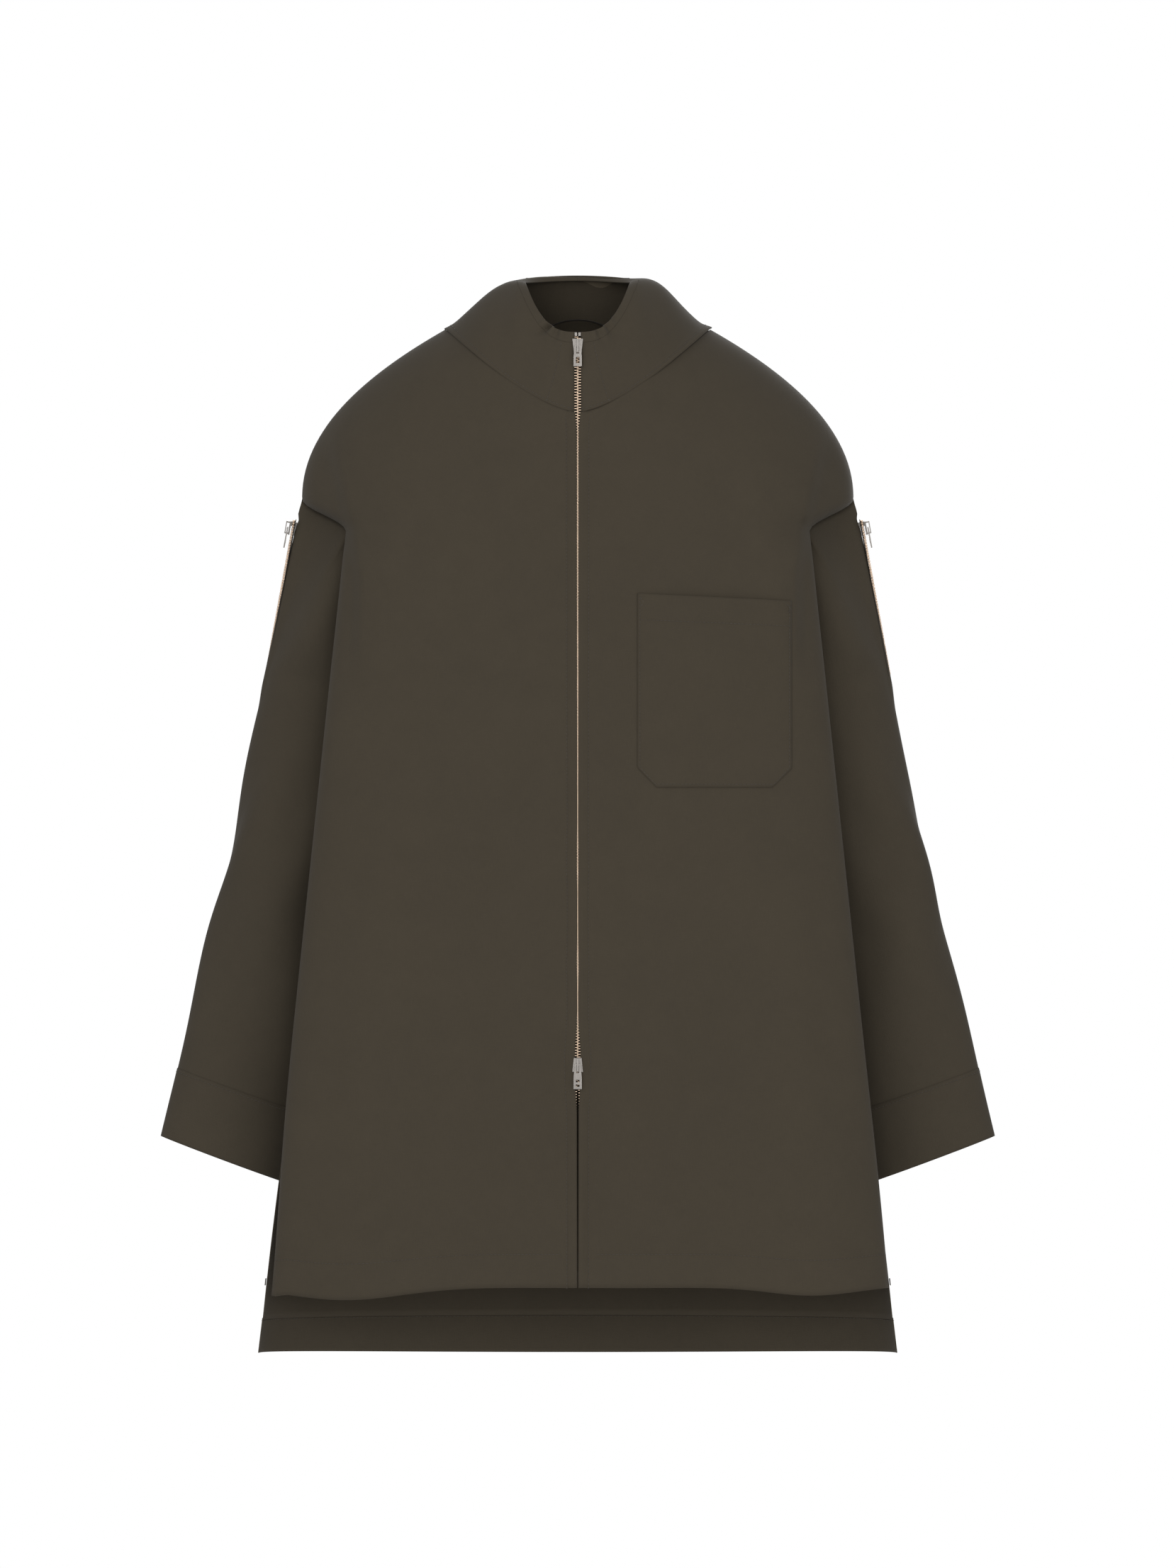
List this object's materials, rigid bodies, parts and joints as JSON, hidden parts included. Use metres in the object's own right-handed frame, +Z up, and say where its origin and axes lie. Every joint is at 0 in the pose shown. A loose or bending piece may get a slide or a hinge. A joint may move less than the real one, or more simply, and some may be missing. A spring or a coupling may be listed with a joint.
{
  "type": "beekeeping jacket",
  "caption": "Hooded hip-length work jacket with a two-way front zip, folded-down hood, dropped sleeves with zips, deep cuffs, a patch pocket and a longer back hem.",
  "frame": {"origin": "where the hanger loop at the inside back neck bears on its hook", "axes": "+Z up, the front faces -Y, +X is the wearer's left"},
  "size_m": [0.7354, 0.2152, 0.949],
  "materials": {
    "shell_cloth": "matt",
    "inner_cloth": "matt",
    "zip_tape": "matt",
    "thread": "satin",
    "zip_metal": "satin"
  },
  "bodies": {
    "torso": {"front_panel_right": "shell_cloth", "hood_side_right": "shell_cloth", "rim_channel_right": "shell_cloth", "front_placket_right": "inner_cloth", "front_hem_right": "inner_cloth", "side_tack_right": "thread", "zip_tape_right": "zip_tape", "top_stop_right": "zip_metal", "bottom_pin_right": "zip_metal", "front_panel_left": "shell_cloth", "hood_side_left": "shell_cloth", "rim_channel_left": "shell_cloth", "front_placket_left": "inner_cloth", "front_hem_left": "inner_cloth", "side_tack_left": "thread", "zip_tape_left": "zip_tape", "top_stop_left": "zip_metal", "bottom_pin_left": "zip_metal", "back_panel": "shell_cloth", "back_hem": "shell_cloth", "hood_back": "shell_cloth", "chest_pocket": "shell_cloth", "pocket_band": "shell_cloth", "neck_tape": "inner_cloth", "hanger_loop": "zip_tape"},
    "hood": {"hood_bag": "shell_cloth"},
    "upper_zip_slider": {"upper_slider": "zip_metal"},
    "upper_zip_pull": {"upper_pull": "zip_metal"},
    "lower_zip_slider": {"lower_slider": "zip_metal"},
    "lower_zip_pull": {"lower_pull": "zip_metal"},
    "arm_right": {"sleeve_right": "shell_cloth", "cuff_right": "shell_cloth", "sleeve_zip_front_right": "zip_tape", "sleeve_zip_back_right": "zip_tape"},
    "arm_slider_right": {"sleeve_right_slider": "zip_metal"},
    "arm_pull_right": {"sleeve_right_pull": "zip_metal"},
    "arm_left": {"sleeve_left": "shell_cloth", "cuff_left": "shell_cloth", "sleeve_zip_front_left": "zip_tape", "sleeve_zip_back_left": "zip_tape"},
    "arm_slider_left": {"sleeve_left_slider": "zip_metal"},
    "arm_pull_left": {"sleeve_left_pull": "zip_metal"}
  },
  "joints": [
    {"name": "upper_slider_travel", "type": "slide", "parent": "torso", "child": "upper_zip_slider", "axis": [0, 0, -1], "range_m": [0, 0.3]},
    {"name": "upper_pull_swing", "type": "hinge", "parent": "upper_zip_slider", "child": "upper_zip_pull", "pos_m": [0, -0.16325, -0.024], "axis": [1, 0, 0], "range_deg": [-165, 0]},
    {"name": "lower_slider_travel", "type": "slide", "parent": "torso", "child": "lower_zip_slider", "axis": [0, 0, 1], "range_m": [-0.16, 0.28]},
    {"name": "lower_pull_swing", "type": "hinge", "parent": "lower_zip_slider", "child": "lower_zip_pull", "pos_m": [0, -0.16325, -0.651], "axis": [1, 0, 0], "range_deg": [-165, 0]},
    {"name": "hood_lift", "type": "hinge", "parent": "torso", "child": "hood", "pos_m": [0, 0.0085, 0.0265], "axis": [1, 0, 0], "range_deg": [0, 120]},
    {"name": "sleeve_raise_right", "type": "hinge", "parent": "torso", "child": "arm_right", "pos_m": [-0.248, -0.025, -0.1565], "axis": [0, 1, 0], "range_deg": [0, 80]},
    {"name": "arm_slider_travel_right", "type": "slide", "parent": "arm_right", "child": "arm_slider_right", "axis": [-0.179, 0.0724, -0.9812], "range_m": [0, 0.098]},
    {"name": "arm_pull_swing_right", "type": "hinge", "parent": "arm_slider_right", "child": "arm_pull_right", "pos_m": [-0.25585, -0.02075, -0.17992], "axis": [-0.013, -0.9974, -0.0712], "range_deg": [-165, 0]},
    {"name": "sleeve_raise_left", "type": "hinge", "parent": "torso", "child": "arm_left", "pos_m": [0.248, -0.025, -0.1565], "axis": [0, -1, 0], "range_deg": [0, 80]},
    {"name": "arm_slider_travel_left", "type": "slide", "parent": "arm_left", "child": "arm_slider_left", "axis": [0.179, 0.0724, -0.9812], "range_m": [0, 0.098]},
    {"name": "arm_pull_swing_left", "type": "hinge", "parent": "arm_slider_left", "child": "arm_pull_left", "pos_m": [0.25585, -0.02075, -0.17992], "axis": [-0.013, 0.9974, 0.0712], "range_deg": [-165, 0]}
  ]
}
